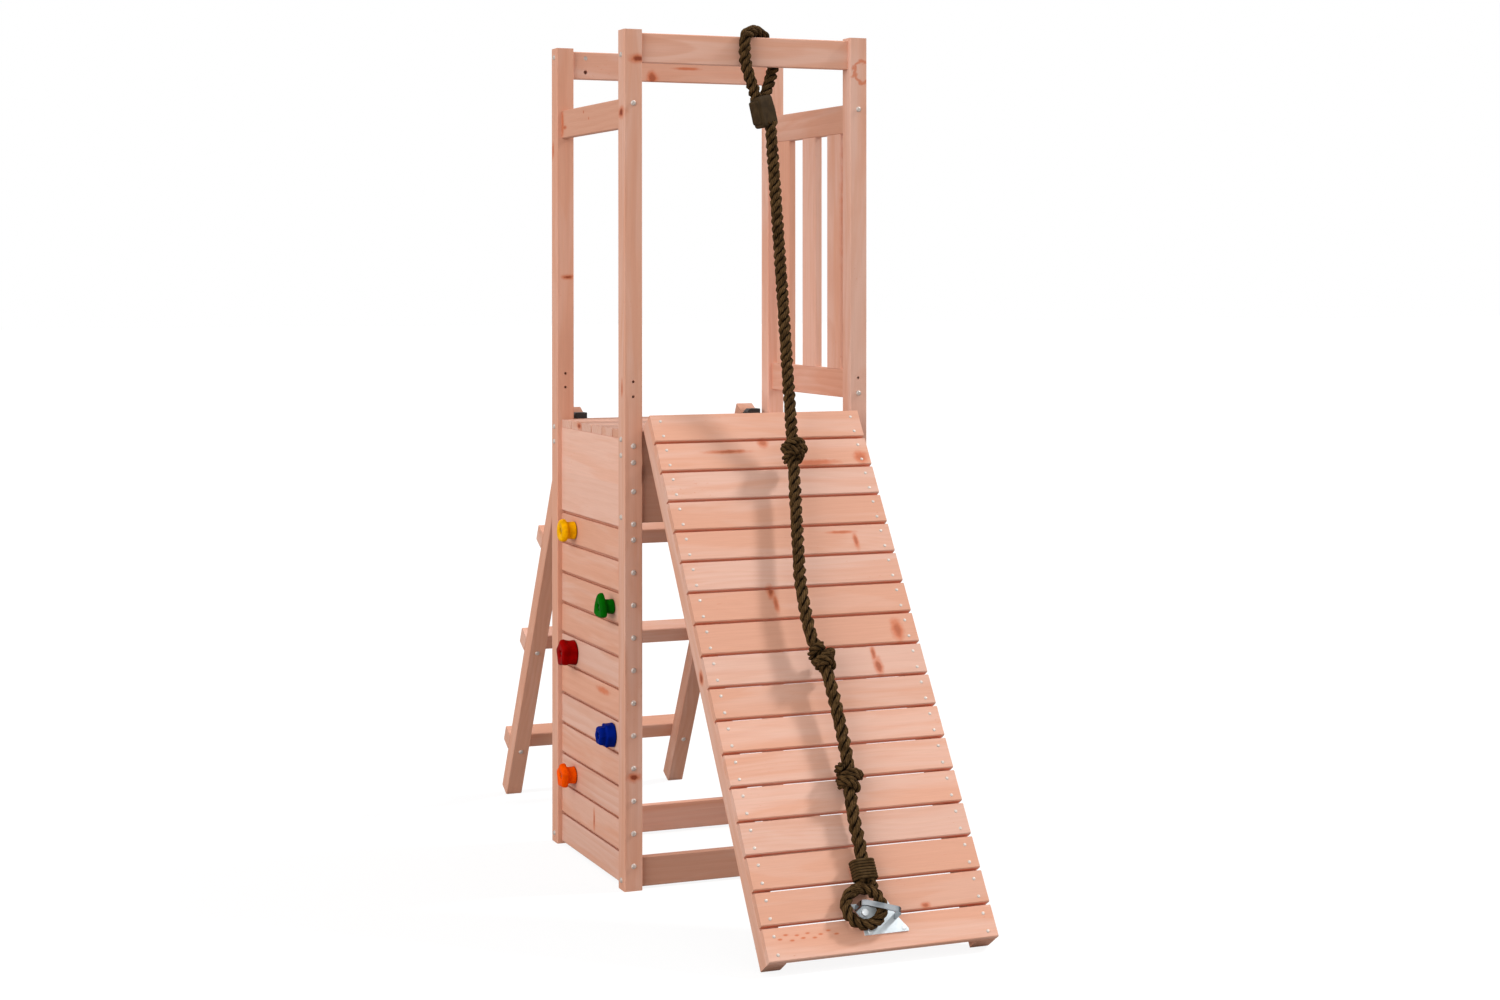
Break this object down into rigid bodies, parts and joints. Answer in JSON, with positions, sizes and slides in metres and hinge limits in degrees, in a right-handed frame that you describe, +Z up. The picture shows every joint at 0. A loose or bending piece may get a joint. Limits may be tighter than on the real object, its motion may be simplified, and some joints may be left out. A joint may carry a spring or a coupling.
{
  "type": "play tower with climbing rope",
  "caption": "Wooden play tower with deck, climbing wall with holds, slatted ramp with knotted rope, side railing and leaning ladder.",
  "frame": {"origin": "on the ground at the middle of the four posts", "axes": "+Z up, +X along the front to the right, +Y from the ramp side to the ladder side"},
  "size_m": [0.6581, 1.9549, 2.0699],
  "materials": {
    "frame_wood": "planed, lightly oiled",
    "wall_wood": "planed, lightly oiled",
    "deck_wood": "planed, lightly oiled",
    "ramp_wood": "planed, lightly oiled",
    "zinc_steel": "zinc plated",
    "black_steel": "black coating, satin",
    "yellow_plastic": "moulded, slightly glossy",
    "green_plastic": "moulded, slightly glossy",
    "red_plastic": "moulded, slightly glossy",
    "blue_plastic": "moulded, slightly glossy",
    "orange_plastic": "moulded, slightly glossy",
    "rope_fibre": "laid three-strand fibre, matte",
    "dark_plastic": "moulded, satin",
    "anchor_chrome": "polished"
  },
  "bodies": {
    "tower": {"post_front_left": "frame_wood", "post_front_right": "frame_wood", "post_back_left": "frame_wood", "post_back_right": "frame_wood", "beam_front": "frame_wood", "beam_back": "frame_wood", "rail_left": "frame_wood", "rail_right_upper": "frame_wood", "rail_right_lower": "frame_wood", "railing_slats": "frame_wood", "panel_left": "frame_wood", "panel_right": "frame_wood", "panel_front": "frame_wood", "deck_beam": "frame_wood", "deck_planks": "deck_wood", "deck_screws": "zinc_steel", "wall_boards": "wall_wood", "sill_front": "frame_wood", "sill_back": "frame_wood", "sill_right": "frame_wood", "ladder_rail_left": "frame_wood", "ladder_rail_right": "frame_wood", "ladder_rungs": "frame_wood", "ladder_bolts": "zinc_steel", "ladder_brackets": "black_steel", "stringer_left": "frame_wood", "stringer_right": "frame_wood", "ramp_slats": "ramp_wood", "ramp_nails": "zinc_steel", "ramp_brackets": "black_steel", "hold_yellow": "yellow_plastic", "hold_green": "green_plastic", "hold_red": "red_plastic", "hold_blue": "blue_plastic", "hold_orange": "orange_plastic", "hold_bolts": "zinc_steel", "side_bolts": "zinc_steel", "end_bolts": "zinc_steel", "barrel_nuts": "zinc_steel", "rope_run": "rope_fibre", "anchor_plate": "anchor_chrome", "anchor_bow": "anchor_chrome", "anchor_screws": "anchor_chrome"},
    "rope_top": {"rope_loop": "rope_fibre", "rope_ferrule": "dark_plastic"},
    "rope_end": {"rope_eye": "rope_fibre", "rope_whipping": "rope_fibre"}
  },
  "joints": [
    {"name": "loop_slide", "type": "slide", "parent": "tower", "child": "rope_top", "axis": [1, 0, 0], "range_m": [-0.06, 0.06]},
    {"name": "eye_swing", "type": "hinge", "parent": "tower", "child": "rope_end", "pos_m": [-0.048, -1.01418, 0.11538], "axis": [0, -0.832, 0.5548], "range_deg": [-15, 15], "stiffness_Nm_per_rad": 0.5}
  ]
}
